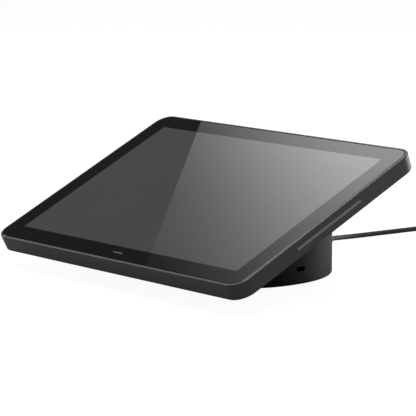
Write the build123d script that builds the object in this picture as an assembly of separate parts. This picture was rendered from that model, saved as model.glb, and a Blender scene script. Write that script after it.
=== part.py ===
from build123d import *
import os
from math import cos, dist, pi, radians, sin, tan

# Desk-top smart display: a leaning touch screen on a round base, with its cable.
# Millimetres. The origin is the centre of the base on the table top, +X is to the right,
# +Y to the back and +Z up. The head is drawn in its own frame (u right, v up the slope,
# n out of the glass), whose origin is the middle of the picture area.

# ---------------------------------------------------------------- driving dimensions
TILT = 25.0                     # slope of the screen above the table
SCREEN_Y = -32.5                # middle of the picture area from the base's axis
SCREEN_Z = 56.0

HEAD_WIDTH = 248.0
HEAD_HEIGHT = 166.0
HEAD_CORNER = 10.6              # corner radius of the front
BACK_CORNER = 12.0              # the same at the frame's back edge
SIDE_DEPTH = 11.2               # visible side wall of the head
HEAD_DEPTH = 14.2               # with the tapered back
TOP_ROUND = 0.9
LOW_ROUND = 0.8
RIM = 1.7                       # frame edge round the glass
GLASS_GAP = 0.3
GLASS_CHAMFER = 0.3
WALL = 2.0

GLASS = 1.1
LEDGE_TOP = -1.6                # shelf that carries the glass on its gasket
LEDGE_LOW = -3.0
LEDGE_OPENING = (238.0, 156.0, 6.0)

PANEL_WIDTH = 229.5             # 10.1 inch, 16:10 panel with a 217 x 135.6 picture
PANEL_HEIGHT = 149.0
PANEL_V = -1.5
TOUCH_LOW = -1.4
PANEL_LOW = -2.7
FILMS_LOW = -3.2
GUIDE_LOW = -5.2
REFLECTOR_LOW = -5.4
TRAY_LOW = -6.0
TRAY_WALL = 0.6
CHASSIS_LOW = -7.0
CHASSIS_WIDTH = 237.0
CHASSIS_HEIGHT = 155.4
BOARD_TOP = -8.2
BOARD_LOW = -9.4
BACK_INSIDE = -12.6
LIP_TOP = -8.6                  # lip of the rear cover inside the frame's wall
LIP_GAP = 0.15
LIP_WALL = 1.4
COVER_INSET = 0.8               # rear cover's edge inside the frame's
BACK_INSET = 9.8                # and its flat back
BACK_FLAT_CORNER = 9.0

LIGHT_LENGTH = 59.4
LIGHT_HEIGHT = 2.0
LIGHT_V = -0.7
LIGHT_N = -5.4
LIGHT_GAP = 0.1
SIDE_BOARD_TOP = -3.4
SIDE_BOARD_LOW = -8.3

BOARD_U = -72.0                 # mainboard, left of the mounting bosses
BOARD_WIDTH = 68.0
BOARD_HEIGHT = 88.0
BOARD_INSET = 4.0
CAN_U = -74.0
CAN_V = 3.0
CAN_WIDTH = 40.0
CAN_HEIGHT = 36.0
CAN_LOW = -11.4
SHEET = 0.3
DISPLAY_FLEX_U = (-86.0, -62.0)
TOUCH_FLEX_U = (-57.0, -47.0)

SCREW_FIT = 0.05                # radial clearance of every screw shank
HOUSING_SPOTS = [(s * 117.5, t * 73.0) for s in (-1, 1) for t in (-1, 1)]
HOUSING_SPOTS += [(s * 60.0, v) for s in (-1, 1) for v in (-78.4, 78.4)]
CHASSIS_SPOTS = [(s * 116.8, t * 42.0) for s in (-1, 1) for t in (-1, 1)]
HOUSING_SEAT = -SIDE_DEPTH      # under the heads of the rear cover's screws
HOUSING_SCREW = 1.0
BOSS_LOW = -9.0                 # where the frame's screw bosses meet the rear cover's
MOUNT_SPOTS = [(s * 30.0, v) for s in (-1, 1) for v in (-8.0, 40.0)]
MOUNT_SCREW = 2.0
HARNESS_V = 14.0
HARNESS_HOLE = 6.0
MICROPHONES = (-32.0, 32.0)
PINHOLE = 0.5

BASE_RADIUS = 65.0
BASE_WALL = 2.5
BASE_LOW = 1.0                  # height of the shell's lower edge above the table
SHELF_Z = 68.0                  # flat top of the base behind the screen
SHELF_ROUND = 5.0
BASE_EDGE = 0.8
FLOOR_TOP = 4.0
FLOOR_SEAT = 2.9                # under the heads of the floor screws
FLOOR_GAP = 0.2
FOOT_OUTER = 61.0
FOOT_INNER = 55.0
FOOT_TOP = 2.3
FLOOR_SCREW_RADIUS = 58.5       # radius of the circle the four floor screws stand on
FLOOR_SCREW_ANGLES = (40, 140, 220, 320)
FLOOR_SCREW = 1.3
BOSS_TOP = 20.0
BOSS = 4.4

BAY_HALF = 20.0                 # cable bay in the underside
BAY_FRONT = 5.6
BAY_BACK = 50.5
BAY_TOP = 24.0
BAY_WALL = 1.6
COVER_LENGTH = 36.2
COVER_GAP = 0.3
TONGUE = 1.2
OUTLET_HALF = 5.0
OUTLET_TOP = 13.5

BALLAST_RADIUS = 52.5
BALLAST_THICK = 8.0
BALLAST_SPOTS = [(-38.0, -4.0), (38.0, -4.0)]
SPEAKER_Y = -30.0
SPEAKER_RADIUS = 19.0
IO_Y = -1.0                     # back face of the upright socket board
IO_HALF = 24.0
IO_LOW = 5.0
IO_TOP = 33.0
IO_THICK = 1.6
IO_SPOTS = [(s * 20.5, z) for s in (-1, 1) for z in (9.0, 28.0)]
SOCKET_Z = 13.0
SOCKET_HALF = 4.5
SOCKET_HALF_HEIGHT = 1.6
BUTTON_X = 13.0
BUTTON_Z = 13.0
BUTTON_RADIUS = 1.8
BUTTON_FIT = 0.06
BUTTON_PROUD = 1.2

SLOT_WIDTH = 7.0                # security slot on the right
SLOT_HEIGHT = 3.1
SLOT_Z = 11.0

CORD = 3.5
CORD_Z = 9.0                    # height of the cable where it leaves the base
GROMMET_FRONT = 57.0
GROMMET_BACK = 73.5
ROUTE = [
    (0.0, 73.5, 9.0),
    (0.0, 84.5, 9.0),
    (-6.5, 94.5, 8.7),
    (-18.0, 105.5, 7.7),
    (-29.5, 118.5, 5.3),
    (-37.4, 135.5, 3.1),
    (-39.6, 155.0, 2.0),
    (-38.4, 176.0, 1.75),
    (-35.7, 198.0, 1.75),
    (-32.9, 218.0, 1.75),
    (-32.2, 236.0, 1.75),
]
COIL_CENTRE = (-7.7, 236.0)
COIL_TURNS_ACROSS = 3
COIL_LAYERS = 4
COIL_MIDDLE = 21.0              # radius at the middle of the turns
TAIL = [
    (-7.7, 260.5, 12.25),
    (3.8, 261.3, 11.6),
    (15.4, 262.4, 8.2),
    (27.0, 262.6, 4.2),
    (37.5, 262.6, 4.2),
]
PLUG_Z = 4.2

# ---------------------------------------------------------------- helpers
SLOPE_COS = cos(radians(TILT))
SLOPE_SIN = sin(radians(TILT))
HEAD = Location(Plane((0, SCREEN_Y, SCREEN_Z), (1, 0, 0), (0, -SLOPE_SIN, SLOPE_COS)))


def head_point(u, v, n):
    """A point of the head's frame in the object's frame."""
    y = SCREEN_Y + v * SLOPE_COS - n * SLOPE_SIN
    z = SCREEN_Z + v * SLOPE_SIN + n * SLOPE_COS
    return (u, y, z)


def slab(width, height, corner, low, high, u=0.0, v=0.0):
    """A plate with round corners between two levels."""
    outline = RectangleRounded(width, height, corner) if corner else Rectangle(width, height)
    return extrude(Pos(u, v, low) * outline, high - low)


def taper(inset, low_inset, high, low, corner, low_corner):
    """A slab on the head whose outline and corner radius change from one level to the other."""
    wide = RectangleRounded(HEAD_WIDTH - 2 * inset, HEAD_HEIGHT - 2 * inset, corner)
    narrow = RectangleRounded(HEAD_WIDTH - 2 * low_inset, HEAD_HEIGHT - 2 * low_inset, low_corner)
    return loft([Pos(0, 0, high) * wide, Pos(0, 0, low) * narrow], ruled=True)


def block(x_low, x_high, y_low, y_high, z_low, z_high):
    size = (x_high - x_low, y_high - y_low, z_high - z_low)
    middle = ((x_low + x_high) / 2, (y_low + y_high) / 2, (z_low + z_high) / 2)
    return Pos(*middle) * Box(*size)


def rod(x, y, low, high, radius):
    """A cylinder along the third axis."""
    return Pos(x, y, (low + high) / 2) * Cylinder(radius, high - low)


def rod_y(x, z, low, high, radius):
    """A cylinder along Y."""
    return Pos(x, (low + high) / 2, z) * Rot(90, 0, 0) * Cylinder(radius, high - low)


def screw(x, y, seat, tip, shank, head_radius, head_height, hex_socket=0.8):
    """A pan-head screw whose head lies below its seat and whose tip is above it."""
    body = rod(x, y, seat, tip, shank)
    body += rod(x, y, seat - head_height, seat, head_radius)
    drive = extrude(Pos(x, y, seat - head_height) * RegularPolygon(hex_socket, 6), head_height / 2)
    return body - drive


def group(shapes):
    return Compound(children=[shape for item in shapes for shape in item.solids()])


def below_slope(depth):
    """Everything below the plane that lies this deep under the glass's face."""
    return HEAD * block(-200, 200, -200, 200, -400, -depth)


def tube(points, radius):
    """A round tube whose every corner is as wide an arc as its two runs allow."""
    radii = []
    for before, here, after in zip(points, points[1:], points[2:]):
        turn = (Vector(*here) - Vector(*before)).get_angle(Vector(*after) - Vector(*here))
        shorter = min(dist(before, here), dist(here, after))
        radii.append(0.45 * shorter / tan(radians(turn) / 2))
    path = FilletPolyline(*points, radius=radii)
    solid = sweep(Plane(path @ 0, z_dir=path % 0) * Circle(radius), path)
    straightness = solid.volume / (pi * radius ** 2 * path.length)
    print("tube", round(path.length, 1), "long, radii", [round(r, 1) for r in radii],
          "volume over section times length", round(straightness, 4))
    return solid


# ---------------------------------------------------------------- display head
def cover_glass():
    inset = 2 * (RIM + GLASS_GAP)
    corner = HEAD_CORNER - inset / 2
    plate = slab(HEAD_WIDTH - inset, HEAD_HEIGHT - inset, corner, -GLASS, 0)
    return chamfer(plate.faces().sort_by(Axis.Z)[-1].edges(), GLASS_CHAMFER)


def glass_gasket():
    outer = slab(243.2, 161.2, 8.6, LEDGE_TOP, -GLASS)
    return outer - slab(239.0, 157.0, 6.5, LEDGE_TOP, -GLASS)


def touch_sensor():
    return slab(231.0, 150.0, 2.0, TOUCH_LOW, -GLASS, v=-1.0)


def lcd_panel():
    return slab(PANEL_WIDTH, PANEL_HEIGHT, 0.8, PANEL_LOW, TOUCH_LOW, v=PANEL_V)


def optical_films():
    return block(-113, 113, -71.8, 71.6, FILMS_LOW, PANEL_LOW)


def light_guide():
    return block(-113, 113, -71.6, 71.6, GUIDE_LOW, FILMS_LOW)


def reflector_sheet():
    return block(-113, 113, -71.8, 71.6, REFLECTOR_LOW, GUIDE_LOW)


def backlight_led_bar():
    bar = block(-112, 112, -75.0, -74.2, GUIDE_LOW, FILMS_LOW)
    count = 24
    for index in range(count):
        middle = (index - (count - 1) / 2) * 9.2
        bar += block(middle - 1.6, middle + 1.6, -74.2, -71.8, GUIDE_LOW + 0.2, FILMS_LOW - 0.2)
    return bar


def backlight_tray():
    tray = slab(PANEL_WIDTH, PANEL_HEIGHT, 0.8, TRAY_LOW, PANEL_LOW, v=PANEL_V)
    inner_width = PANEL_WIDTH - 2 * TRAY_WALL
    inner_height = PANEL_HEIGHT - 2 * TRAY_WALL
    return tray - slab(inner_width, inner_height, 0.2, REFLECTOR_LOW, PANEL_LOW, v=PANEL_V)


def light_slot(side, gap):
    """The long slot in a side wall, or the bar that fills it."""
    outline = SlotOverall(LIGHT_LENGTH + 2 * gap, LIGHT_HEIGHT + 2 * gap)
    plane = Plane((side * (HEAD_WIDTH / 2 - 3), LIGHT_V, LIGHT_N), (0, 1, 0), (side, 0, 0))
    return extrude(plane * outline, 6)


def front_frame():
    frame = taper(0, 0, 0, -SIDE_DEPTH, HEAD_CORNER, BACK_CORNER)
    frame = fillet(frame.faces().sort_by(Axis.Z)[-1].edges(), TOP_ROUND)
    frame = fillet(frame.faces().sort_by(Axis.Z)[0].edges(), LOW_ROUND)
    pocket = 2 * RIM
    frame -= slab(HEAD_WIDTH - pocket, HEAD_HEIGHT - pocket, HEAD_CORNER - RIM, LEDGE_TOP, 1)
    opening_width, opening_height, opening_corner = LEDGE_OPENING
    frame -= slab(opening_width, opening_height, opening_corner, LEDGE_LOW, LEDGE_TOP)
    cavity = 2 * WALL
    frame -= slab(HEAD_WIDTH - cavity, HEAD_HEIGHT - cavity, BACK_CORNER - WALL, -SIDE_DEPTH, LEDGE_LOW)
    for side in (-1, 1):
        frame -= light_slot(side, LIGHT_GAP)
    for u in MICROPHONES:
        frame -= Pos(u, HEAD_HEIGHT / 2 - 1, LIGHT_N) * Rot(90, 0, 0) * Cylinder(PINHOLE, 6)
    for u, v in HOUSING_SPOTS:
        frame += rod(u, v, BOSS_LOW, LEDGE_LOW, 2.2)
        if abs(u) > 100:
            rib = sorted((u, u + 5 * u / abs(u)))
            frame += block(*rib, v - 1.2, v + 1.2, BOSS_LOW + 0.6, LEDGE_LOW)
        frame -= rod(u, v, BOSS_LOW, -4.4, HOUSING_SCREW + SCREW_FIT)
    for u, v in CHASSIS_SPOTS:
        side = 1 if u > 0 else -1
        frame += rod(u, v, TRAY_LOW, LEDGE_LOW, 1.9) + block(
            min(u, side * 120.0), max(u, side * 120.0), v - 1.9, v + 1.9, TRAY_LOW, LEDGE_LOW)
        frame -= rod(u, v, TRAY_LOW, -3.6, 0.9 + SCREW_FIT)
    return frame


def light_bar(side):
    bar = light_slot(side, 0)
    bar &= block(*sorted((side * 122.2, side * (HEAD_WIDTH / 2 - 0.05))), -50, 50, -9, 0)
    return bar


def led_board(side):
    face = side * 121.4
    board = block(*sorted((side * 120.7, face)), -31, 30, SIDE_BOARD_LOW, SIDE_BOARD_TOP)
    for index in range(6):
        v = LIGHT_V + (index - 2.5) * 9.6
        board += block(*sorted((face, side * 122.0)), v - 1, v + 1, LIGHT_N - 0.7, LIGHT_N + 0.7)
    return board


def microphone_board():
    board = block(-40, 40, 79.5, 80.2, SIDE_BOARD_LOW, SIDE_BOARD_TOP)
    for u in MICROPHONES:
        board += block(u - 2, u + 2, 80.2, 80.9, LIGHT_N - 1.4, LIGHT_N + 1.4)
    return board


def light_sensor():
    return block(-6, 6, 74.4, 77.6, -2.5, -2.1) + block(-1.5, 1.5, 75.0, 77.2, -2.1, -GLASS)


def antennas():
    strips = [block(*sorted((s * 66, s * 108)), 80.5, 80.8, -8.2, -3.4) for s in (-1, 1)]
    return group(strips)


def board_corners():
    reach = (BOARD_WIDTH / 2 - BOARD_INSET, BOARD_HEIGHT / 2 - BOARD_INSET)
    return [(BOARD_U + s * reach[0], t * reach[1]) for s in (-1, 1) for t in (-1, 1)]


def chassis_plate():
    plate = slab(CHASSIS_WIDTH, CHASSIS_HEIGHT, 5.0, CHASSIS_LOW, TRAY_LOW)
    for u, v in HOUSING_SPOTS:
        plate -= rod(u, v, CHASSIS_LOW, TRAY_LOW, 3.2)
        plate -= block(u - 3.2, u + 3.2, *sorted((v, v + 8 * v / abs(v))), CHASSIS_LOW, TRAY_LOW)
    for u, v in board_corners():
        plate += rod(u, v, BOARD_TOP, CHASSIS_LOW, 2.6)
        plate -= rod(u, v, BOARD_TOP, TRAY_LOW - 0.4, 1.0 + SCREW_FIT)
    for u, v in MOUNT_SPOTS:
        plate += rod(u, v, BACK_INSIDE, CHASSIS_LOW, 4.5)
        plate -= rod(u, v, BACK_INSIDE, TRAY_LOW - 0.8, MOUNT_SCREW + SCREW_FIT)
    for u, v in CHASSIS_SPOTS:
        plate -= rod(u, v, CHASSIS_LOW, TRAY_LOW, 0.9 + SCREW_FIT)
    flex_low = DISPLAY_FLEX_U[0] - 2
    flex_high = TOUCH_FLEX_U[1] + 2
    return plate - block(flex_low, flex_high, -80, -75.8, CHASSIS_LOW, TRAY_LOW)


def chassis_screws():
    return group([screw(u, v, CHASSIS_LOW, -4.0, 0.9, 1.7, 0.8, 0.6) for u, v in CHASSIS_SPOTS])


def mainboard():
    board = slab(BOARD_WIDTH, BOARD_HEIGHT, 1.5, BOARD_LOW, BOARD_TOP, u=BOARD_U)
    for u, v in board_corners():
        board -= rod(u, v, BOARD_LOW, BOARD_TOP, 1.0 + SCREW_FIT)
    return board


def board_connectors():
    sockets = [
        block(*DISPLAY_FLEX_U, -44, -40, BOARD_TOP, BOARD_TOP + 1.0),
        block(*TOUCH_FLEX_U, -44, -40, BOARD_TOP, BOARD_TOP + 1.0),
        block(-46, -38, HARNESS_V - 5, HARNESS_V + 5, BOARD_LOW - 2.6, BOARD_LOW),
    ]
    return group(sockets)


def processor():
    return block(CAN_U - 14, CAN_U, CAN_V - 8, CAN_V + 6, BOARD_LOW - 1.0, BOARD_LOW)


def memory_chips():
    chips = [block(CAN_U + 4, CAN_U + 13, v - 5, v + 5, BOARD_LOW - 1.0, BOARD_LOW)
             for v in (CAN_V - 9, CAN_V + 9)]
    return group(chips)


def shield_can():
    can = slab(CAN_WIDTH, CAN_HEIGHT, 1.0, CAN_LOW, BOARD_LOW, u=CAN_U, v=CAN_V)
    inside = slab(CAN_WIDTH - 2 * SHEET, CAN_HEIGHT - 2 * SHEET, 0.7, CAN_LOW + SHEET, BOARD_LOW,
                  u=CAN_U, v=CAN_V)
    return can - inside


def thermal_pad():
    return block(CAN_U - 14, CAN_U, CAN_V - 8, CAN_V + 6, CAN_LOW + SHEET, BOARD_LOW - 1.0)


def heat_spreader():
    return slab(56, 76, 3, CAN_LOW - 0.5, CAN_LOW, u=BOARD_U - 4)


def board_screws():
    return group([screw(u, v, BOARD_LOW, -6.6, 1.0, 1.9, 0.9, 0.7) for u, v in board_corners()])


def ribbon(u_low, u_high, start_n, edge_v, thickness):
    """A flat flex that leaves a panel's lower edge, folds back and runs to the mainboard."""
    under = BOARD_TOP + 0.7
    drop = block(u_low, u_high, edge_v - thickness, edge_v, under - thickness / 2, start_n)
    top = block(u_low, u_high, edge_v - thickness, -76.0, start_n - thickness, start_n)
    back = block(u_low, u_high, edge_v - thickness, -44.0, under - thickness / 2,
                 under + thickness / 2)
    return drop + top + back


def display_flex():
    return ribbon(*DISPLAY_FLEX_U, -1.8, -76.6, 0.2)


def touch_flex():
    return ribbon(*TOUCH_FLEX_U, -1.12, -77.1, 0.2)


def rear_cover():
    corner = BACK_CORNER - COVER_INSET
    outer = taper(COVER_INSET, BACK_INSET, -SIDE_DEPTH, -HEAD_DEPTH, corner, BACK_FLAT_CORNER)
    hollow_inset = COVER_INSET + 4.0
    hollow = taper(hollow_inset, BACK_INSET, -SIDE_DEPTH, BACK_INSIDE, BACK_CORNER - hollow_inset,
                   BACK_FLAT_CORNER - 1.0)
    cover = outer - hollow
    lip_inset = WALL + LIP_GAP
    lip = slab(HEAD_WIDTH - 2 * lip_inset, HEAD_HEIGHT - 2 * lip_inset, BACK_CORNER - lip_inset,
               -SIDE_DEPTH, LIP_TOP)
    inner_inset = lip_inset + LIP_WALL
    cover += lip - slab(HEAD_WIDTH - 2 * inner_inset, HEAD_HEIGHT - 2 * inner_inset,
                        BACK_CORNER - inner_inset, -SIDE_DEPTH, LIP_TOP)
    for u, v in HOUSING_SPOTS:
        cover += rod(u, v, -HEAD_DEPTH, -SIDE_DEPTH, 3.4) & outer
        cover += rod(u, v, -SIDE_DEPTH, BOSS_LOW, 2.4)
        cover -= rod(u, v, BOSS_LOW, LIP_TOP, 2.4)
        cover -= rod(u, v, -HEAD_DEPTH - 1, HOUSING_SEAT, 2.1)
        cover -= rod(u, v, HOUSING_SEAT, BOSS_LOW, HOUSING_SCREW + SCREW_FIT)
    for u, v in MOUNT_SPOTS:
        cover -= rod(u, v, -HEAD_DEPTH, BACK_INSIDE, MOUNT_SCREW + SCREW_FIT)
    cover -= rod(0, HARNESS_V, -HEAD_DEPTH, BACK_INSIDE, HARNESS_HOLE)
    return cover


def housing_screws():
    return group([screw(u, v, HOUSING_SEAT, -5.0, HOUSING_SCREW, 1.7, 0.6, 0.7)
                  for u, v in HOUSING_SPOTS])


# ---------------------------------------------------------------- base
def floor_screw_spots():
    return [(FLOOR_SCREW_RADIUS * cos(radians(a)), FLOOR_SCREW_RADIUS * sin(radians(a)))
            for a in FLOOR_SCREW_ANGLES]


def lock_slot(x_low, x_high, gap=0.0):
    outline = RectangleRounded(SLOT_WIDTH + 2 * gap, SLOT_HEIGHT + 2 * gap, 0.6)
    plane = Plane((x_low, 0, SLOT_Z), (0, 1, 0), (1, 0, 0))
    return extrude(plane * outline, x_high - x_low)


def outlet(gap=0.0):
    """The notch at the back where the cable leaves the base."""
    return block(-OUTLET_HALF - gap, OUTLET_HALF + gap, 55, 70, 0, OUTLET_TOP + gap)


def base_shell():
    drum = rod(0, 0, BASE_LOW, SHELF_Z, BASE_RADIUS)
    drum = fillet(drum.faces().sort_by(Axis.Z)[-1].edges(), SHELF_ROUND)
    drum = fillet(drum.faces().sort_by(Axis.Z)[0].edges(), BASE_EDGE)
    drum &= below_slope(HEAD_DEPTH)
    inside = rod(0, 0, BASE_LOW, SHELF_Z - BASE_WALL, BASE_RADIUS - BASE_WALL)
    inside = fillet(inside.faces().sort_by(Axis.Z)[-1].edges(), SHELF_ROUND - BASE_WALL)
    shell = drum - (inside & below_slope(HEAD_DEPTH + BASE_WALL))
    for x, y in floor_screw_spots():
        shell += rod(x, y, FLOOR_TOP, BOSS_TOP, BOSS) & rod(0, 0, 0, BOSS_TOP, BASE_RADIUS - 1)
        shell -= rod(x, y, FLOOR_TOP, BOSS_TOP - 4, FLOOR_SCREW + SCREW_FIT)
    for u, v in MOUNT_SPOTS:
        shell -= HEAD * rod(u, v, -HEAD_DEPTH - 5, -HEAD_DEPTH + 1, MOUNT_SCREW + SCREW_FIT)
    shell -= HEAD * rod(0, HARNESS_V, -HEAD_DEPTH - 5, -HEAD_DEPTH + 1, HARNESS_HOLE)
    shell -= lock_slot(50, 70)
    return shell - outlet()


def lock_slot_insert():
    inner = BASE_RADIUS - BASE_WALL
    plate = block(inner - 4.1, inner - 0.4, -7.5, 7.5, SLOT_Z - 5.4, SLOT_Z + 5.4)
    plate &= rod(0, 0, 0, 30, inner - 0.1)
    return plate - lock_slot(50, 70)


def mount_plate():
    top = -HEAD_DEPTH - BASE_WALL
    plate = slab(74, 64, 6, top - 2.0, top, v=16)
    for u, v in MOUNT_SPOTS:
        plate -= rod(u, v, top - 2.0, top, MOUNT_SCREW + SCREW_FIT)
    return plate - rod(0, HARNESS_V, top - 2.0, top, HARNESS_HOLE)


def mount_screws():
    seat = -HEAD_DEPTH - BASE_WALL - 2.0
    return group([screw(u, v, seat, -7.6, MOUNT_SCREW, 3.6, 2.2, 1.6) for u, v in MOUNT_SPOTS])


def base_harness():
    points = [
        head_point(-37.8, HARNESS_V, -10.9),
        head_point(0, HARNESS_V, -10.9),
        head_point(0, HARNESS_V, -25),
        (0, IO_Y - IO_THICK - 2.2, 33.0),
    ]
    path = FilletPolyline(*points, radius=[4.5, 9.0])
    return sweep(Plane(path @ 0, z_dir=path % 0) * Circle(1.4), path)


def floor_plate():
    radius = BASE_RADIUS - BASE_WALL - FLOOR_GAP
    plate = rod(0, 0, BASE_LOW, FLOOR_TOP, radius)
    groove = rod(0, 0, BASE_LOW, FOOT_TOP, FOOT_OUTER + 0.1)
    plate -= groove - rod(0, 0, BASE_LOW, FOOT_TOP, FOOT_INNER - 0.1)
    return plate


def bay_well():
    """The moulded well over the cable bay, open below and behind."""
    outer = block(-BAY_HALF - BAY_WALL, BAY_HALF + BAY_WALL, BAY_FRONT - BAY_WALL, BAY_BACK,
                  FLOOR_TOP, BAY_TOP + BAY_WALL)
    for x, z in IO_SPOTS:
        outer += rod_y(x, z, IO_Y, BAY_FRONT - BAY_WALL, 2.5)
        outer -= rod_y(x, z, IO_Y, BAY_FRONT - 0.6, 1.0 + SCREW_FIT)
    return outer


def base_floor():
    floor = floor_plate() + bay_well()
    floor -= block(-BAY_HALF, BAY_HALF, BAY_FRONT, BAY_BACK + 1, FLOOR_TOP - 0.5, BAY_TOP)
    floor -= block(-BAY_HALF, BAY_HALF, BAY_FRONT, BAY_BACK, 0, FLOOR_TOP)
    for side in (-1, 1):
        groove = sorted((side * BAY_HALF, side * (BAY_HALF + TONGUE + 0.3)))
        floor -= block(*groove, BAY_FRONT, BAY_BACK, 2.2, 3.0)
    floor -= block(-OUTLET_HALF - 0.5, OUTLET_HALF + 0.5, BAY_BACK - 1, 70, 0, 10)
    floor -= block(-SOCKET_HALF - 0.2, SOCKET_HALF + 0.2, 0, BAY_FRONT,
                   SOCKET_Z - SOCKET_HALF_HEIGHT - 0.2, SOCKET_Z + SOCKET_HALF_HEIGHT + 0.2)
    floor -= rod_y(BUTTON_X, BUTTON_Z, 0, BAY_FRONT + 1, BUTTON_RADIUS + BUTTON_FIT)
    for x, y in floor_screw_spots():
        floor -= rod(x, y, 0, FLOOR_TOP, FLOOR_SCREW + SCREW_FIT)
        floor -= rod(x, y, 0, FLOOR_SEAT, 2.8)
    for index in range(7):
        x = (index - 3) * 4.5
        half = (SPEAKER_RADIUS ** 2 - x ** 2) ** 0.5 - 4
        floor -= block(x - 1, x + 1, SPEAKER_Y - half, SPEAKER_Y + half, 0, FLOOR_TOP)
    for x, y in BALLAST_SPOTS:
        floor -= rod(x, y, 2.4, FLOOR_TOP, 1.5 + SCREW_FIT)
    return floor


def foot_ring():
    ring = rod(0, 0, 0, FOOT_TOP, FOOT_OUTER) - rod(0, 0, 0, FOOT_TOP, FOOT_INNER)
    ring = chamfer(ring.faces().sort_by(Axis.Z)[0].edges(), 0.4)
    ring -= block(-OUTLET_HALF - 0.5, OUTLET_HALF + 0.5, 40, 70, -1, 10)
    for x, y in floor_screw_spots():
        ring -= rod(x, y, -1, FOOT_TOP, 3.1)
    return ring


def cable_cover():
    front = BAY_FRONT + COVER_GAP
    half = BAY_HALF - COVER_GAP
    plate = block(-half, half, front, front + COVER_LENGTH, 1.8, 3.4)
    tongue = BAY_HALF + TONGUE
    plate += block(-tongue, tongue, front, front + COVER_LENGTH, 2.35, 2.85)
    for index in range(5):
        y = front + 8 + index * 2.4
        plate -= block(-8, 8, y, y + 1.0, 1.0, 2.2)
    return plate


def ballast_weight():
    weight = rod(0, 0, FLOOR_TOP, FLOOR_TOP + BALLAST_THICK, BALLAST_RADIUS)
    weight -= block(-26, 26, -8.0, 70, 0, 30)
    weight -= rod(0, SPEAKER_Y, 0, 30, SPEAKER_RADIUS + 2)
    for x, y in BALLAST_SPOTS:
        weight -= rod(x, y, 0, 30, 1.5 + SCREW_FIT)
    return weight


def ballast_screws():
    top = FLOOR_TOP + BALLAST_THICK
    return group([Pos(0, 0, 2 * top) * Rot(180, 0, 0) * screw(x, -y, top, 2 * top - 2.6, 1.5, 2.8, 1.8, 1.2)
                  for x, y in BALLAST_SPOTS])


def base_screws():
    return group([screw(x, y, FLOOR_SEAT, 14, FLOOR_SCREW, 2.5, 0.9, 1.0) for x, y in floor_screw_spots()])


def io_board():
    board = block(-IO_HALF, IO_HALF, IO_Y - IO_THICK, IO_Y, IO_LOW, IO_TOP)
    for x, z in IO_SPOTS:
        board -= rod_y(x, z, IO_Y - IO_THICK, IO_Y, 1.0 + SCREW_FIT)
    front = IO_Y - IO_THICK
    board += block(-5, 5, front - 4.2, front, 26, 32)
    return board + block(8, 14, front - 3.4, front, 8, 13)


def io_board_screws():
    front = IO_Y - IO_THICK
    screws = []
    for x, z in IO_SPOTS:
        body = rod_y(x, z, front, 4.4, 1.0)
        head = rod_y(x, z, front - 1.4, front, 1.9)
        screws.append(body + head)
    return group(screws)


def usb_socket():
    high = SOCKET_HALF_HEIGHT
    shell = block(-SOCKET_HALF, SOCKET_HALF, IO_Y, BAY_FRONT, SOCKET_Z - high, SOCKET_Z + high)
    shell -= block(-SOCKET_HALF + 0.3, SOCKET_HALF - 0.3, IO_Y + 0.6, BAY_FRONT,
                   SOCKET_Z - high + 0.3, SOCKET_Z + high - 0.3)
    return shell + block(-3.3, 3.3, IO_Y + 0.6, BAY_FRONT - 1.0, SOCKET_Z - 0.35, SOCKET_Z + 0.35)


def usb_plug():
    grip = block(-6.0, 6.0, BAY_FRONT + 0.4, 24.0, SOCKET_Z - 3.2, SOCKET_Z + 3.2)
    grip = fillet(grip.edges().filter_by(Axis.Y), 2.4)
    tail = Pos(0, 29.0, SOCKET_Z) * Rot(90, 0, 0) * Cone(2.0, 2.9, 10.0)
    return grip + tail


def usb_plug_shell():
    shell = block(-4.1, 4.1, IO_Y + 1.2, BAY_FRONT + 0.4, SOCKET_Z - 1.2, SOCKET_Z + 1.2)
    return shell - block(-3.5, 3.5, IO_Y + 1.2, BAY_FRONT - 0.6, SOCKET_Z - 0.5, SOCKET_Z + 0.5)


def cord_inner():
    points = [
        (0, 34.0, SOCKET_Z),
        (0, 40.0, SOCKET_Z),
        (0, 50.0, CORD_Z),
        (0, GROMMET_FRONT, CORD_Z),
    ]
    path = FilletPolyline(*points, radius=10)
    return sweep(Plane(path @ 0, z_dir=path % 0) * Circle(CORD / 2), path)


def reset_button():
    cap = rod_y(BUTTON_X, BUTTON_Z, IO_Y + 2.6, BAY_FRONT + BUTTON_PROUD, BUTTON_RADIUS)
    cap = fillet(cap.faces().sort_by(Axis.Y)[-1].edges(), 0.4)
    collar = rod_y(BUTTON_X, BUTTON_Z, IO_Y + 2.6, BAY_FRONT - BAY_WALL - 0.1, 2.8)
    return cap + collar


def reset_switch():
    low = BUTTON_Z - 3
    body = block(BUTTON_X - 3, BUTTON_X + 3, IO_Y, IO_Y + 1.3, low, BUTTON_Z + 3)
    return body + rod_y(BUTTON_X, BUTTON_Z, IO_Y, IO_Y + 1.9, 1.4)


def speaker_frame():
    low = FLOOR_TOP
    ring = rod(0, SPEAKER_Y, low, low + 2.4, SPEAKER_RADIUS)
    bowl = Pos(0, SPEAKER_Y, low + 6.2) * Cone(SPEAKER_RADIUS - 1, 11, 7.6)
    hollow = Pos(0, SPEAKER_Y, low + 5.4) * Cone(SPEAKER_RADIUS - 2, 9.4, 7.6)
    return ring + bowl - rod(0, SPEAKER_Y, low, low + 2.4, SPEAKER_RADIUS - 2) - hollow


def speaker_cone():
    low = FLOOR_TOP + 1.6
    skin = Pos(0, SPEAKER_Y, low + 2.5) * Cone(SPEAKER_RADIUS - 3.4, 6.0, 5.0)
    inner = Pos(0, SPEAKER_Y, low + 1.9) * Cone(SPEAKER_RADIUS - 3.4, 6.0, 5.0)
    return skin - inner


def speaker_magnet():
    low = FLOOR_TOP + 10.0
    return rod(0, SPEAKER_Y, low, low + 7.0, 13.0)


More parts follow.
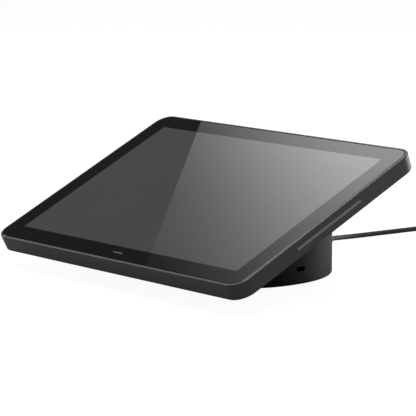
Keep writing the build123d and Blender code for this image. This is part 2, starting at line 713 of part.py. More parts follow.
def cable_grommet():
    inside = GROMMET_FRONT + 4.0
    half = OUTLET_HALF - 0.05
    plug = block(-half, half, inside, BASE_RADIUS + 1, 2.0, OUTLET_TOP - 0.05)
    plug &= rod(0, 0, 0, 30, BASE_RADIUS)
    flange = block(-OUTLET_HALF - 2, OUTLET_HALF + 2, GROMMET_FRONT, inside, FLOOR_TOP + 0.2,
                   OUTLET_TOP + 2)
    face = BASE_RADIUS - 0.5
    neck = rod_y(0, CORD_Z, GROMMET_FRONT, face, 3.8)
    length = GROMMET_BACK - face
    tail = Pos(0, face + length / 2, CORD_Z) * Rot(90, 0, 0) * Cone(2.35, 3.8, length)
    return plug + flange + neck + tail


# ---------------------------------------------------------------- cable
def cord_lead():
    return tube(ROUTE, CORD / 2)


def cord_coil():
    x, y = COIL_CENTRE
    width = COIL_TURNS_ACROSS * CORD
    height = COIL_LAYERS * CORD
    section = Pos(COIL_MIDDLE, height / 2) * RectangleRounded(width, height, CORD / 2 - 0.05)
    return Pos(x, y, 0) * revolve(Plane.XZ * section, Axis.Z)


def cord_tail():
    return tube(TAIL, CORD / 2)


def far_plug():
    start = TAIL[-1]
    relief = Cone(3.6, 2.2, 9.0)
    relief = Pos(start[0] + 4.5, start[1], PLUG_Z) * Rot(0, -90, 0) * relief
    x = start[0] + 9
    grip = block(x, x + 24, start[1] - 7.8, start[1] + 7.8, 0.2, 8.2)
    return relief + fillet(grip.edges().filter_by(Axis.X), 3.0)


def far_plug_shell():
    x = TAIL[-1][0] + 33
    y = TAIL[-1][1]
    shell = block(x, x + 12, y - 6, y + 6, PLUG_Z - 2.25, PLUG_Z + 2.25)
    return shell - block(x + 3, x + 12, y - 5.6, y + 5.6, PLUG_Z - 1.85, PLUG_Z + 0.1)


# ---------------------------------------------------------------- writing
HEAD_NODES = {
    "cover_glass": cover_glass, "glass_gasket": glass_gasket, "touch_sensor": touch_sensor,
    "lcd_panel": lcd_panel, "optical_films": optical_films, "light_guide": light_guide,
    "reflector_sheet": reflector_sheet, "backlight_led_bar": backlight_led_bar,
    "backlight_tray": backlight_tray, "front_frame": front_frame,
    "microphone_board": microphone_board, "light_sensor": light_sensor, "antennas": antennas,
    "chassis_plate": chassis_plate, "chassis_screws": chassis_screws, "mainboard": mainboard,
    "board_connectors": board_connectors, "processor": processor, "memory_chips": memory_chips,
    "shield_can": shield_can, "thermal_pad": thermal_pad, "heat_spreader": heat_spreader,
    "board_screws": board_screws, "display_flex": display_flex, "touch_flex": touch_flex,
    "rear_cover": rear_cover, "housing_screws": housing_screws,
    "mount_plate": mount_plate, "mount_screws": mount_screws,
}
BASE_NODES = {
    "base_shell": base_shell, "lock_slot_insert": lock_slot_insert, "base_harness": base_harness,
    "base_floor": base_floor, "foot_ring": foot_ring, "cable_cover": cable_cover,
    "ballast_weight": ballast_weight, "ballast_screws": ballast_screws,
    "base_screws": base_screws, "io_board": io_board, "io_board_screws": io_board_screws,
    "usb_socket": usb_socket, "usb_plug": usb_plug,
    "usb_plug_shell": usb_plug_shell, "cord_inner": cord_inner,
    "reset_button": reset_button, "reset_switch": reset_switch, "speaker_frame": speaker_frame,
    "speaker_cone": speaker_cone, "speaker_magnet": speaker_magnet,
    "cable_grommet": cable_grommet, "cord_lead": cord_lead, "cord_coil": cord_coil,
    "cord_tail": cord_tail, "far_plug": far_plug, "far_plug_shell": far_plug_shell,
}


def main():
    os.makedirs("parts", exist_ok=True)
    shapes = {name: HEAD * make() for name, make in HEAD_NODES.items()}
    for side, word in ((1, "right"), (-1, "left")):
        shapes[word + "_light_bar"] = HEAD * light_bar(side)
        shapes[word + "_led_board"] = HEAD * led_board(side)
    shapes.update({name: make() for name, make in BASE_NODES.items()})
    for name, shape in shapes.items():
        export_step(shape, "parts/" + name + ".step")


main()
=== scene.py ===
from math import cos, pi, radians, sin

import bpy
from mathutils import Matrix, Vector


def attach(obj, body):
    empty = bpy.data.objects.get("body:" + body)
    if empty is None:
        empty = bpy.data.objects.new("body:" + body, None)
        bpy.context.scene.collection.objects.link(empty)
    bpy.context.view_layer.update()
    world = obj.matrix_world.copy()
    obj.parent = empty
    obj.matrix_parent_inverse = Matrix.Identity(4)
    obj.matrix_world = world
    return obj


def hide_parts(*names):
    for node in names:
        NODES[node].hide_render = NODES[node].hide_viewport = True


# Desk-top smart display: a leaning touch screen on a round base, with its cable.
# Metres, in the CAD frame: the origin is the centre of the base on the table top,
# +X is to the right, +Y to the back and +Z up.

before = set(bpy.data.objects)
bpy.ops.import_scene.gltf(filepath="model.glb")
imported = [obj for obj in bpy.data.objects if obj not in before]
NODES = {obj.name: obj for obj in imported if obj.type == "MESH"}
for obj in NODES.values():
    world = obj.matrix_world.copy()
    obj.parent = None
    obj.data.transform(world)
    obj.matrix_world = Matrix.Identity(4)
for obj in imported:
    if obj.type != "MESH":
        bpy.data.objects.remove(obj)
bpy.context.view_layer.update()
MM = 0.001

# ---------------------------------------------------------------- the head's own frame
TILT = radians(25.0)
SCREEN_CENTRE = Vector((0, -32.5, 56.0)) * MM
ALONG = Vector((1, 0, 0))
UPHILL = Vector((0, cos(TILT), sin(TILT)))
OUT = Vector((0, -sin(TILT), cos(TILT)))
PICTURE_WIDTH = 217.0 * MM
PICTURE_HEIGHT = 135.6 * MM


def on_glass(u, v):
    """A point of the glass's face, given in millimetres from the middle of the picture."""
    return SCREEN_CENTRE + (ALONG * u + UPHILL * v) * MM


def towards(azimuth, elevation):
    """The direction at these angles in degrees: azimuth runs from the front to the right."""
    a, e = radians(azimuth), radians(elevation)
    return Vector((sin(a) * cos(e), -cos(a) * cos(e), sin(e)))


def link(name, data):
    """A new object in the scene."""
    made = bpy.data.objects.new(name, data)
    bpy.context.scene.collection.objects.link(made)
    return made


# ---------------------------------------------------------------- camera
AZIMUTH = 49.26                 # degrees
ELEVATION = 9.1
DISTANCE = 1577.5 * MM
FOCAL_LENGTH = 207.9            # millimetres, on the default 36 mm sensor
AIM_RIGHT = 6.77 * MM           # the camera's axis passes this far from the picture's middle
AIM_DOWN = 9.38 * MM

TO_CAMERA = towards(AZIMUTH, ELEVATION)
CAMERA_RIGHT = Vector((cos(radians(AZIMUTH)), sin(radians(AZIMUTH)), 0))
CAMERA_UP = TO_CAMERA.cross(CAMERA_RIGHT)
CAMERA_PLACE = (SCREEN_CENTRE + CAMERA_RIGHT * AIM_RIGHT - CAMERA_UP * AIM_DOWN
                + TO_CAMERA * DISTANCE)


def make_camera():
    data = bpy.data.cameras.new("camera")
    data.lens = FOCAL_LENGTH
    data.clip_start = 0.01
    data.clip_end = 60
    camera = link("camera", data)
    camera.location = CAMERA_PLACE
    camera.rotation_mode = "QUATERNION"
    camera.rotation_quaternion = (-TO_CAMERA).to_track_quat("-Z", "Y")
    bpy.context.scene.camera = camera


# ---------------------------------------------------------------- node helpers
class Nodes:
    """A node tree with short ways to add and join nodes."""

    def __init__(self, tree):
        self.tree = tree

    def node(self, kind, inputs=(), **settings):
        made = self.tree.nodes.new("ShaderNode" + kind)
        for key, value in settings.items():
            setattr(made, key, value)
        for key, value in dict(inputs).items():
            self.feed(made.inputs[key], value)
        return made

    def feed(self, socket, value):
        if isinstance(value, bpy.types.NodeSocket):
            self.tree.links.new(value, socket)
        else:
            socket.default_value = value

    def math(self, operation, first, second=0.0, third=0.0):
        made = self.node("Math", {0: first, 1: second, 2: third}, operation=operation)
        return made.outputs[0]


def emptied(holder, output):
    """The cleared node tree of a material or a world, and the socket of its new output."""
    holder.use_nodes = True
    holder.node_tree.nodes.clear()
    nodes = Nodes(holder.node_tree)
    return nodes, nodes.node(output).inputs["Surface"]


class Shader(Nodes):
    """A material with the patterns that the finishes need, placed by the object's own coordinates."""

    def __init__(self, name):
        self.material = bpy.data.materials.new(name)
        self.material.use_nodes = True
        super().__init__(self.material.node_tree)
        self.surface = self.tree.nodes["Principled BSDF"]
        self.place = self.node("TexCoord").outputs["Object"]

    def set(self, **values):
        for key, value in values.items():
            self.feed(self.surface.inputs[key.replace("_", " ")], value)

    def stretched(self, scale):
        return self.node("Mapping", {"Vector": self.place, "Scale": scale}).outputs[0]

    def noise(self, scale, detail=3.0, rough=0.5, place=None):
        inputs = {"Vector": place or self.place, "Scale": scale, "Detail": detail, "Roughness": rough}
        return self.node("TexNoise", inputs).outputs["Fac"]

    def cells(self, scale, place=None, feature="F1", output="Distance"):
        inputs = {"Vector": place or self.place, "Scale": scale}
        return self.node("TexVoronoi", inputs, feature=feature).outputs[output]

    def spread(self, value, low, high, start=0.0, end=1.0):
        inputs = {"Value": value, "From Min": start, "From Max": end, "To Min": low, "To Max": high}
        return self.node("MapRange", inputs).outputs[0]

    def ramp(self, value, *stops):
        made = self.node("ValToRGB", {"Fac": value})
        band = made.color_ramp
        while len(band.elements) < len(stops):
            band.elements.new(0.5)
        for element, (at, colour) in zip(band.elements, stops):
            element.position = at
            element.color = (*colour, 1)
        return made.outputs["Color"]

    def mix(self, factor, first, second, blend="MIX"):
        made = self.node("Mix", {0: factor}, data_type="RGBA", blend_type=blend)
        colours = [socket for socket in made.inputs if socket.type == "RGBA"]
        for socket, value in zip(colours, (first, second)):
            self.feed(socket, value if isinstance(value, bpy.types.NodeSocket) else (*value, 1))
        return [socket for socket in made.outputs if socket.type == "RGBA"][0]

    def bump(self, height, distance, strength=1.0, under=None):
        inputs = {"Height": height, "Distance": distance, "Strength": strength}
        made = self.node("Bump", inputs)
        if under is not None:
            self.feed(made.inputs["Normal"], under)
        self.set(Normal=made.outputs[0])
        return made.outputs[0]


def shade(colour, factor):
    return tuple(min(1.0, channel * factor) for channel in colour)


# ---------------------------------------------------------------- finishes
CHARCOAL = (0.0262, 0.0268, 0.028)
BASE_CHARCOAL = (0.0135, 0.0138, 0.0146)
BLACK = (0.012, 0.012, 0.013)
COPPER = (0.35, 0.22, 0.06)

GLASS_IOR = 1.32                # low, as on glass with an anti-reflection layer
PANEL_GLOSS = 0.33              # the panel under the glass adds a reflection of its own
PANEL_DARK = (0.0495, 0.0495, 0.0503)
PANEL_LIGHT = (0.0545, 0.0545, 0.0553)
PANEL_GRID = 4 * 0.17 * MM      # a faint grid, four picture dots to a cell
INK_DARK = (0.0042, 0.0042, 0.0046)
INK_LIGHT = (0.0056, 0.0056, 0.006)
MARK_DOWN = 74.3 * MM           # the dash on the lower border, below the picture's middle
MARK_HALF_WIDTH = 4.6 * MM
MARK_HALF_HEIGHT = 0.55 * MM
PRINT_SOFTNESS = 0.12 * MM


def moulded(name, colour, roughness=0.46, grain=2600.0, depth=0.000018, mottle=0.12,
            specular=0.5):
    """Moulded plastic: a fine spark-eroded grain with faint changes of tone and gloss."""
    s = Shader(name)
    broad = s.noise(38.0, 4.0, 0.6)
    fine = s.noise(grain, 2.0, 0.55)
    pits = s.cells(grain * 0.62)
    tone = s.math("MULTIPLY_ADD", fine, 0.35, s.math("MULTIPLY", broad, 0.65))
    colours = s.ramp(tone, (0.3, shade(colour, 1 - mottle)), (0.7, shade(colour, 1 + mottle)))
    s.set(Base_Color=colours, Roughness=s.spread(broad, roughness - 0.05, roughness + 0.06, 0.3, 0.7),
          Specular_IOR_Level=specular)
    height = s.math("ADD", fine, s.math("MULTIPLY", pits, 0.6))
    s.bump(height, depth)
    return s.material


def rubbery(name, colour, roughness=0.62, grain=1500.0):
    """Matt rubber or silicone."""
    s = Shader(name)
    fine = s.noise(grain, 3.0, 0.6)
    broad = s.noise(60.0, 3.0)
    colours = s.ramp(broad, (0.3, shade(colour, 0.82)), (0.72, shade(colour, 1.25)))
    s.set(Base_Color=colours, Roughness=s.spread(fine, roughness - 0.08, roughness + 0.08, 0.3, 0.7))
    s.bump(fine, 0.00003)
    return s.material


def sheet_metal(name, colour, roughness=0.32, brushed=(60, 2400, 2400)):
    """Rolled metal with fine lines along X and faint stains."""
    s = Shader(name)
    lines = s.noise(1.0, 3.0, 0.6, s.stretched(brushed))
    stain = s.noise(45.0, 4.0)
    colours = s.ramp(lines, (0.3, shade(colour, 0.82)), (0.7, shade(colour, 1.08)))
    s.set(Base_Color=s.mix(s.spread(stain, 0.0, 0.25, 0.45, 0.7), colours, shade(colour, 0.7)),
          Metallic=1.0, Roughness=s.spread(lines, roughness - 0.08, roughness + 0.12, 0.3, 0.7))
    s.bump(lines, 0.000006)
    return s.material


def cast_metal(name, colour, roughness=0.55, metallic=1.0):
    """Lumpy cast metal, bare or painted."""
    s = Shader(name)
    lumps = s.noise(420.0, 5.0, 0.65)
    broad = s.noise(30.0, 3.0)
    colours = s.ramp(broad, (0.3, shade(colour, 0.75)), (0.7, shade(colour, 1.15)))
    s.set(Base_Color=colours, Metallic=metallic,
          Roughness=s.spread(lumps, roughness - 0.12, roughness + 0.12, 0.3, 0.7))
    s.bump(lumps, 0.00012)
    return s.material


def circuit_board(name, mask):
    """Solder mask over fine tracks and pads."""
    s = Shader(name)
    tracks = s.cells(240.0, feature="DISTANCE_TO_EDGE")
    lines = s.math("LESS_THAN", tracks, 0.05)
    pads = s.math("LESS_THAN", s.cells(520.0), 0.16)
    tone = s.noise(120.0, 2.0)
    body = s.ramp(tone, (0.3, shade(mask, 0.8)), (0.7, shade(mask, 1.2)))
    raised = s.mix(s.math("MULTIPLY", lines, 0.55), body, shade(mask, 1.9))
    s.set(Base_Color=s.mix(s.math("MULTIPLY", pads, 0.85), raised, COPPER),
          Roughness=s.spread(tone, 0.3, 0.42))
    s.bump(s.math("ADD", lines, pads), 0.00004)
    return s.material


def film(name, colour, roughness=0.3):
    """One smooth layer of the display's stack."""
    s = Shader(name)
    fine = s.noise(900.0, 2.0)
    broad = s.noise(26.0, 3.0)
    s.set(Base_Color=s.ramp(broad, (0.3, shade(colour, 0.94)), (0.7, shade(colour, 1.03))),
          Roughness=s.spread(fine, roughness - 0.06, roughness + 0.08))
    s.bump(fine, 0.000008)
    return s.material


def flex(name):
    """Amber polyimide with copper tracks that run along the ribbon."""
    s = Shader(name)
    wave = s.node("TexWave", {"Vector": s.place, "Scale": 320.0, "Distortion": 0.0}, bands_direction="X")
    lines = s.math("GREATER_THAN", wave.outputs["Fac"], 0.55)
    tone = s.noise(300.0, 2.0)
    base = s.ramp(tone, (0.3, (0.42, 0.17, 0.025)), (0.7, (0.58, 0.27, 0.05)))
    s.set(Base_Color=s.mix(s.math("MULTIPLY", lines, 0.7), base, (0.66, 0.36, 0.12)),
          Roughness=s.spread(tone, 0.24, 0.36))
    s.bump(lines, 0.00002)
    return s.material


def paper_cone(name):
    """Dark pressed paper with fibres."""
    s = Shader(name)
    fibres = s.noise(1.0, 4.0, 0.7, s.stretched((1800, 1800, 700)))
    s.set(Base_Color=s.ramp(fibres, (0.3, (0.03, 0.03, 0.032)), (0.7, (0.075, 0.075, 0.08))),
          Roughness=s.spread(fibres, 0.7, 0.9))
    s.bump(fibres, 0.00012)
    return s.material


def light_pipe(name):
    """Frosted grey diffuser of the status light, unlit."""
    s = Shader(name)
    frost = s.noise(1900.0, 3.0, 0.6)
    cloud = s.noise(90.0, 2.0)
    s.set(Base_Color=s.ramp(cloud, (0.3, (0.125, 0.127, 0.128)), (0.7, (0.148, 0.15, 0.151))),
          Roughness=s.spread(frost, 0.34, 0.5, 0.3, 0.7), Coat_Weight=0.15, Coat_Roughness=0.2)
    s.bump(frost, 0.00001)
    return s.material


def screen_glass(name):
    """Cover glass seen with what lies bonded under it: the printed border and the dark panel."""
    s = Shader(name)
    parts = s.node("SeparateXYZ", {"Vector": s.place})
    u = parts.outputs["X"]
    dot = s.node("VectorMath", {0: s.place, 1: tuple(UPHILL)}, operation="DOT_PRODUCT").outputs["Value"]
    v = s.math("SUBTRACT", dot, SCREEN_CENTRE.dot(UPHILL))

    def inside(value, half):
        reach = s.math("ABSOLUTE", value)
        return s.spread(reach, 1.0, 0.0, half - PRINT_SOFTNESS, half + PRINT_SOFTNESS)

    picture = s.math("MULTIPLY", inside(u, PICTURE_WIDTH / 2), inside(v, PICTURE_HEIGHT / 2))
    mark_v = s.math("ADD", v, MARK_DOWN)
    mark = s.math("MULTIPLY", inside(u, MARK_HALF_WIDTH), inside(mark_v, MARK_HALF_HEIGHT))
    haze = s.noise(14.0, 3.0, 0.55)
    dust = s.math("GREATER_THAN", s.noise(1400.0, 1.0), 0.79)
    panel = s.ramp(haze, (0.3, PANEL_DARK), (0.7, PANEL_LIGHT))
    grid = s.node("TexBrick", {"Vector": s.place, "Scale": 1.0 / PANEL_GRID, "Mortar Size": 0.02,
                               "Color1": (1, 1, 1, 1), "Color2": (0.97, 0.97, 0.97, 1),
                               "Mortar": (0.88, 0.88, 0.88, 1)})
    gridded = s.mix(1.0, panel, grid.outputs["Color"], "MULTIPLY")
    border = s.ramp(haze, (0.3, INK_DARK), (0.7, INK_LIGHT))
    body = s.mix(picture, border, gridded)
    marked = s.mix(mark, body, (0.11, 0.11, 0.115))
    s.set(Base_Color=s.mix(s.math("MULTIPLY", dust, 0.05), marked, (0.4, 0.4, 0.4)),
          Roughness=s.spread(haze, 0.004, 0.012, 0.35, 0.65), IOR=GLASS_IOR,
          Coat_Weight=s.math("MULTIPLY", picture, PANEL_GLOSS), Coat_Roughness=0.01, Coat_IOR=1.5)
    return s.material


def finish_nodes():
    """Gives every CAD node its material and hands back the cable's."""
    housing = moulded("housing_plastic", CHARCOAL, 0.36)
    base = moulded("base_plastic", BASE_CHARCOAL, 0.54, specular=0.34)
    under = moulded("underside_plastic", (0.018, 0.018, 0.0195), 0.56, 1500.0, 0.00004)
    dark = moulded("dark_moulding", BLACK, 0.5)
    steel = sheet_metal("zinc_steel", (0.62, 0.62, 0.6))
    tin = sheet_metal("tin_plate", (0.72, 0.72, 0.72), 0.26)
    alloy = cast_metal("light_alloy", (0.6, 0.61, 0.62), 0.45)
    green = circuit_board("green_board", (0.012, 0.11, 0.05))
    white = circuit_board("white_board", (0.75, 0.75, 0.72))
    screw_black = sheet_metal("black_screw_steel", (0.06, 0.06, 0.062), 0.4)
    amber = flex("flex_ribbon")
    rubber = rubbery("black_rubber", (0.014, 0.014, 0.015))
    jacket = cord_jacket("cable_jacket")
    wanted = {
        screen_glass("cover_glass"): ["cover_glass"],
        rubber: ["glass_gasket", "foot_ring", "cable_grommet", "base_harness"],
        film("sensor_film", (0.1, 0.1, 0.11), 0.2): ["touch_sensor"],
        film("display_cell", (0.03, 0.03, 0.034), 0.15): ["lcd_panel"],
        film("optical_film", (0.82, 0.84, 0.86)): ["optical_films"],
        film("acrylic_guide", (0.72, 0.8, 0.82), 0.12): ["light_guide"],
        film("white_reflector", (0.88, 0.88, 0.88), 0.4): ["reflector_sheet"],
        white: ["backlight_led_bar", "right_led_board", "left_led_board"],
        tin: ["backlight_tray", "shield_can", "usb_plug_shell", "far_plug_shell", "usb_socket"],
        housing: ["front_frame", "rear_cover"],
        light_pipe("frosted_light_pipe"): ["right_light_bar", "left_light_bar"],
        green: ["microphone_board", "light_sensor", "mainboard", "io_board"],
        dark: ["antennas", "board_connectors", "usb_plug", "far_plug", "speaker_frame", "reset_switch"],
        alloy: ["chassis_plate", "heat_spreader"],
        steel: ["chassis_screws", "board_screws", "mount_screws", "mount_plate", "ballast_screws",
                "io_board_screws", "speaker_magnet"],
        screw_black: ["housing_screws", "base_screws"],
        moulded("chip_package", (0.02, 0.02, 0.021), 0.55, 3200.0): ["processor", "memory_chips"],
        rubbery("thermal_pad", (0.4, 0.46, 0.52), 0.7): ["thermal_pad"],
        amber: ["display_flex", "touch_flex"],
        base: ["base_shell"],
        sheet_metal("slot_steel", (0.3, 0.3, 0.31), 0.4): ["lock_slot_insert"],
        cast_metal("painted_cast_iron", (0.07, 0.07, 0.075), 0.5, 0.6): ["ballast_weight"],
        under: ["base_floor", "cable_cover"],
        moulded("button_plastic", (0.05, 0.05, 0.053), 0.35): ["reset_button"],
        paper_cone("cone_paper"): ["speaker_cone"],
        jacket: ["cord_inner", "cord_lead", "cord_coil", "cord_tail"],
    }
    for material, names in wanted.items():
        for name in names:
            slots = NODES[name].data.materials
            if not slots:
                slots.append(material)
            for index in range(len(slots)):
                slots[index] = material
    return jacket


# ---------------------------------------------------------------- cable
CORD_WIDTH = 3.5                # millimetres, as are the points below
ROUTE = [
    (0.0, 73.5, 9.0),
    (0.0, 84.5, 9.0),
    (-6.5, 94.5, 8.7),
    (-18.0, 105.5, 7.7),
    (-29.5, 118.5, 5.3),
    (-37.4, 135.5, 3.1),
    (-39.6, 155.0, 2.0),
    (-38.4, 176.0, 1.75),
    (-35.7, 198.0, 1.75),
    (-32.9, 218.0, 1.75),
]
TAIL = [
    (3.8, 261.3, 11.6),
    (15.4, 262.4, 8.2),
    (27.0, 262.6, 4.2),
    (37.5, 262.6, 4.2),
]
COIL_CENTRE = (-7.7, 236.0)
COIL_ACROSS = 3
COIL_LAYERS = 4
COIL_INNER = 17.5               # radius of the innermost turn's centre line
COIL_POINTS = 24                # a turn
COIL_TURNS = 11.25
COIL_START = 180.0              # degrees, where the lead joins the outermost turn
COIL_SLIP = 45.0                # degrees in which a turn passes from its place to the next


def cord_jacket(name):
    """Matt black cable jacket."""
    s = Shader(name)
    fine = s.noise(2400.0, 3.0, 0.6)
    broad = s.noise(70.0, 3.0)
    s.set(Base_Color=s.ramp(broad, (0.3, (0.017, 0.017, 0.018)), (0.7, (0.026, 0.026, 0.0275))),
          Roughness=s.spread(fine, 0.5, 0.62, 0.3, 0.7))
    s.bump(fine, 0.000012)
    return s.material


def coil_slot(index):
    """Radius and height of one place in the coil's section, filled in and out by turns."""
    layer, column = divmod(index, COIL_ACROSS)
    inward = layer % 2 == 0
    step = COIL_ACROSS - 1 - column if inward else column
    return COIL_INNER + step * CORD_WIDTH, (layer + 0.5) * CORD_WIDTH


def coil_points():
    """Control points of the wound turns: each turn sits in one place and slips to the next."""
    places = COIL_ACROSS * COIL_LAYERS
    stay = COIL_TURNS * 360 / places
    reach = 1 / cos(pi / COIL_POINTS)
    made = []
    for count in range(round(COIL_TURNS * COIL_POINTS) + 1):
        progress = count * 360 / COIL_POINTS
        index = min(int((progress + COIL_SLIP / 2) / stay), places - 1)
        radius, height = coil_slot(index)
        part = (progress - (index * stay - COIL_SLIP / 2)) / COIL_SLIP
        if index > 0 and part < 1:
            before = coil_slot(index - 1)
            ease = part * part * (3 - 2 * part)
            radius = before[0] + (radius - before[0]) * ease
            height = before[1] + (height - before[1]) * ease
        angle = radians(COIL_START - progress)
        x = COIL_CENTRE[0] + radius * reach * cos(angle)
        y = COIL_CENTRE[1] + radius * reach * sin(angle)
        made.append((x, y, height))
    return made


def make_cord(jacket):
    points = ROUTE + coil_points() + TAIL
    curve = bpy.data.curves.new("cord", "CURVE")
    curve.dimensions = "3D"
    curve.bevel_depth = CORD_WIDTH / 2 * MM
    curve.bevel_resolution = 6
    curve.use_fill_caps = True
    curve.resolution_u = 6
    spline = curve.splines.new("NURBS")
    spline.points.add(len(points) - 1)
    for control, place in zip(spline.points, points):
        control.co = (*(Vector(place) * MM), 1)
    spline.order_u = 3
    spline.use_endpoint_u = True
    spline.use_smooth = True
    cord = link("cord", curve)
    curve.materials.append(jacket)
    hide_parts("cord_lead", "cord_coil", "cord_tail")
    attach(cord, "root")
    return cord


# ---------------------------------------------------------------- cable tie
TIE_ANGLE = radians(-35.0)
TIE_WIDTH = 7.0
TIE_THICK = 0.4
TIE_LOW = 0.45
TIE_LIFT = 0.9                  # how far the strap stands off the coil's top
TIE_CORNER = 2.4
TIE_CORNER_STEPS = 6


def make_tie():
    """A hook-and-loop strap that goes once round the coil's section."""
    half_across = COIL_ACROSS * CORD_WIDTH / 2 + TIE_THICK
    top = COIL_LAYERS * CORD_WIDTH + TIE_LIFT
    middle = COIL_INNER + (COIL_ACROSS - 1) * CORD_WIDTH / 2
    outward = Vector((cos(TIE_ANGLE), sin(TIE_ANGLE), 0))
    across = Vector((-sin(TIE_ANGLE), cos(TIE_ANGLE), 0))
    centre = Vector((*COIL_CENTRE, 0)) + outward * middle
    right = half_across - TIE_CORNER
    upper = top - TIE_CORNER
    lower = TIE_LOW + TIE_CORNER
    outline = []
    for x, z, start in ((right, upper, 0), (-right, upper, 90), (-right, lower, 180), (right, lower, 270)):
        for step in range(TIE_CORNER_STEPS + 1):
            angle = radians(start + step * 90 / TIE_CORNER_STEPS)
            outline.append((x + TIE_CORNER * cos(angle), z + TIE_CORNER * sin(angle)))
    mesh = bpy.data.meshes.new("cord_tie")
    places = []
    faces = []
    half = TIE_WIDTH / 2
    for x, z in outline:
        for side in (-half, half):
            places.append((centre + outward * x + across * side + Vector((0, 0, z))) * MM)
    count = len(outline)
    for index in range(count):
        following = (index + 1) % count
        faces.append((2 * index, 2 * following, 2 * following + 1, 2 * index + 1))
    mesh.from_pydata(places, [], faces)
    mesh.shade_smooth()
    tie = link("cord_tie", mesh)
    thick = tie.modifiers.new("thickness", "SOLIDIFY")
    thick.thickness = TIE_THICK * MM
    thick.offset = -1
    mesh.materials.append(strap_weave("strap_weave"))
    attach(tie, "root")
    return tie


def strap_weave(name):
    """Fuzzy black woven strap."""
    s = Shader(name)
    weft = s.node("TexWave", {"Vector": s.place, "Scale": 620.0}, bands_direction="Z").outputs["Fac"]
    warp = s.node("TexWave", {"Vector": s.place, "Scale": 560.0}, bands_direction="X").outputs["Fac"]
    cloth = s.math("MULTIPLY", weft, warp)
    fuzz = s.noise(2600.0, 3.0)
    s.set(Base_Color=s.ramp(cloth, (0.1, (0.01, 0.01, 0.011)), (0.8, (0.035, 0.035, 0.037))),
          Roughness=s.spread(fuzz, 0.8, 0.95))
    s.bump(s.math("ADD", cloth, s.math("MULTIPLY", fuzz, 0.4)), 0.00015)
    return s.material


# ---------------------------------------------------------------- studio
FLOOR_SIDE = 24.0
FLOOR_GLOW = 0.95
FLOOR_SHADED = 0.1
FLOOR_BOUNCE = 0.3
BACKDROP_NEAR = 0.15            # metres behind the base's axis, where the lit floor begins
BACKDROP_FULL = 0.7
BACKDROP_GLOW = 0.4
AMBIENT = 0.09
LIGHTS = {
    # name: azimuth, elevation (degrees, seen from the object), distance, width, height, watts
    "top": (-111.0, 74.0, 1.7, 1.9, 1.6, 34.0),
    "right_high": (85.0, 50.0, 1.7, 1.0, 0.8, 15.0),
    "back": (170.0, 6.5, 1.6, 1.1, 0.34, 7.5),
    "left_strip": (-70.0, 22.0, 1.8, 0.8, 1.1, 10.0),
}


def grey(level):
    return (level, level, level, 1)


def make_floor():
    """A pale floor, nearly as white as the backdrop, that bounces little light upwards."""
    mesh = bpy.data.meshes.new("floor")
    half = FLOOR_SIDE / 2
    corners = [(-half, -half, 0), (half, -half, 0), (half, half, 0), (-half, half, 0)]
    mesh.from_pydata(corners, [], [(0, 1, 2, 3)])
    floor = link("floor", mesh)
    material = bpy.data.materials.new("studio_floor")
    nodes, surface = emptied(material, "OutputMaterial")
    seen = nodes.node("LightPath").outputs["Is Camera Ray"]
    glow = nodes.node("Emission", {"Strength": FLOOR_GLOW})
    shaded = nodes.node("BsdfDiffuse", {"Color": grey(FLOOR_SHADED)})
    bright = nodes.node("AddShader", {0: glow.outputs[0], 1: shaded.outputs[0]})
    bounce = nodes.node("BsdfDiffuse", {"Color": grey(FLOOR_BOUNCE)})
    unseen = nodes.node("AddShader", {0: bounce.outputs[0], 1: backdrop_glow(nodes)})
    choose = nodes.node("MixShader", {"Fac": seen, 1: unseen.outputs[0], 2: bright.outputs[0]})
    nodes.feed(surface, choose.outputs[0])
    mesh.materials.append(material)


def backdrop_glow(nodes):
    """The lit floor behind the object, which only reflections see."""
    place = nodes.node("TexCoord").outputs["Object"]
    depth = nodes.node("SeparateXYZ", {0: place}).outputs["Y"]
    rise = nodes.node("MapRange", {"Value": depth, "From Min": BACKDROP_NEAR, "From Max": BACKDROP_FULL,
                                   "To Max": BACKDROP_GLOW}).outputs[0]
    glossy = nodes.node("LightPath").outputs["Is Glossy Ray"]
    return nodes.node("Emission", {"Strength": nodes.math("MULTIPLY", rise, glossy)}).outputs[0]


def make_world():
    """White where the camera looks past the floor, and dim for the light that falls on things."""
    world = bpy.data.worlds.new("studio")
    bpy.context.scene.world = world
    nodes, surface = emptied(world, "OutputWorld")
    seen = nodes.node("LightPath").outputs["Is Camera Ray"]
    white = nodes.node("Background", {"Strength": 1.0}).outputs[0]
    soft = nodes.node("Background", {"Strength": AMBIENT}).outputs[0]
    nodes.feed(surface, nodes.node("MixShader", {"Fac": seen, 1: soft, 2: white}).outputs[0])


def make_lights():
    for name, (azimuth, elevation, distance, width, height, watts) in LIGHTS.items():
        away = towards(azimuth, elevation)
        data = bpy.data.lights.new(name, "AREA")
        data.shape = "RECTANGLE"
        data.size = width
        data.size_y = height
        data.energy = watts
        lamp = link(name, data)
        lamp.visible_camera = False
        lamp.location = SCREEN_CENTRE + away * distance
        lamp.rotation_mode = "QUATERNION"
        lamp.rotation_quaternion = (-away).to_track_quat("-Z", "Y")


# ---------------------------------------------------------------- light card
# The card that the glass mirrors: its near edge falls on the diagonal line across the glass.
# Places on the glass are in millimetres from the picture's middle.
CARD_DISTANCE = 2.4             # metres from the glass
CARD_EDGE_TOP = (-80.5, 78.4)
CARD_EDGE_LOW = (22.2, -62.2)
CARD_BEFORE = 0.45              # how far it starts before the low end, in lengths of the edge
CARD_SPAN = 1.8                 # its whole length along the edge, in the same unit
CARD_WIDTH = 260.0
CARD_STEPS = 24
# Its brightness is a smooth formula, fitted to how the reflection in the photograph fades: the
# level at the middle, and the rise of its logarithm with u along and v up the glass.
CARD_UNIT = 100.0               # millimetres to a unit of u and v
CARD_LEVEL = 0.513
CARD_RISE = {"u": 1.51, "v": 2.12, "uv": -0.8, "uu": -0.33, "vv": -0.57}


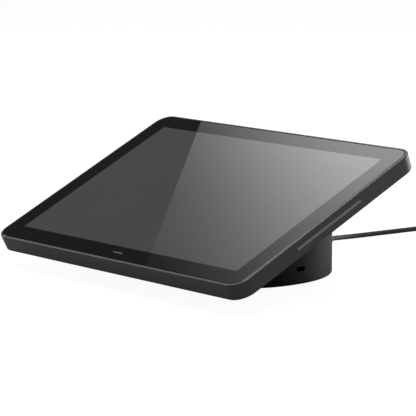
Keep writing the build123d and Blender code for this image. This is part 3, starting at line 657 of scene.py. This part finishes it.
def mirrored(point):
    """The ray that the camera sees in this point of the glass: its mirrored start and direction."""
    behind = CAMERA_PLACE - OUT * (2 * (CAMERA_PLACE - SCREEN_CENTRE).dot(OUT))
    return behind, (point - behind).normalized()


def card_spots():
    """A grid of places on the glass, in rows along the edge, that the card's image covers."""
    low = Vector(CARD_EDGE_LOW)
    edge = Vector(CARD_EDGE_TOP) - low
    away = Vector((-edge.y, edge.x)).normalized()
    if away.x < 0:
        away = -away
    spots = []
    for row in range(CARD_STEPS + 1):
        start = low - edge * CARD_BEFORE + edge * CARD_SPAN * (row / CARD_STEPS)
        for column in range(CARD_STEPS + 1):
            spots.append(start + away * CARD_WIDTH * column / CARD_STEPS)
    return spots


def make_card():
    middle = on_glass(0, 0)
    ahead = mirrored(middle)[1]
    facing = middle + ahead * CARD_DISTANCE
    spots = card_spots()
    places = []
    for spot in spots:
        start, direction = mirrored(on_glass(spot.x, spot.y))
        places.append(start + direction * ((facing - start).dot(ahead) / direction.dot(ahead)))
    faces = []
    for row in range(CARD_STEPS):
        for column in range(CARD_STEPS):
            first = row * (CARD_STEPS + 1) + column
            faces.append((first, first + 1, first + CARD_STEPS + 2, first + CARD_STEPS + 1))
    mesh = bpy.data.meshes.new("card")
    mesh.from_pydata(places, [], faces)
    layer = mesh.uv_layers.new(name="glass")
    for loop in mesh.loops:
        layer.data[loop.index].uv = spots[loop.vertex_index] / CARD_UNIT
    card = link("card", mesh)
    card.visible_camera = False
    card.visible_diffuse = False
    card.visible_shadow = False
    mesh.materials.append(card_glow())


def card_glow():
    """Light whose strength changes smoothly over the card."""
    material = bpy.data.materials.new("card_glow")
    nodes, surface = emptied(material, "OutputMaterial")
    place = nodes.node("UVMap", uv_map="glass").outputs[0]
    parts = nodes.node("SeparateXYZ", {0: place})
    u, v = parts.outputs[0], parts.outputs[1]
    terms = {"v": v, "uv": nodes.math("MULTIPLY", u, v), "uu": nodes.math("MULTIPLY", u, u),
             "vv": nodes.math("MULTIPLY", v, v)}
    power = nodes.math("MULTIPLY", u, CARD_RISE["u"])
    for name, term in terms.items():
        power = nodes.math("MULTIPLY_ADD", term, CARD_RISE[name], power)
    level = nodes.math("MULTIPLY", nodes.math("EXPONENT", power), CARD_LEVEL)
    nodes.feed(surface, nodes.node("Emission", {"Strength": level}).outputs[0])
    return material


# ---------------------------------------------------------------- the scene
def main():
    make_camera()
    jacket = finish_nodes()
    cord = make_cord(jacket)
    tie = make_tie()
    make_floor()
    make_world()
    make_lights()
    make_card()
    bpy.context.scene.view_settings.view_transform = "Standard"


main()
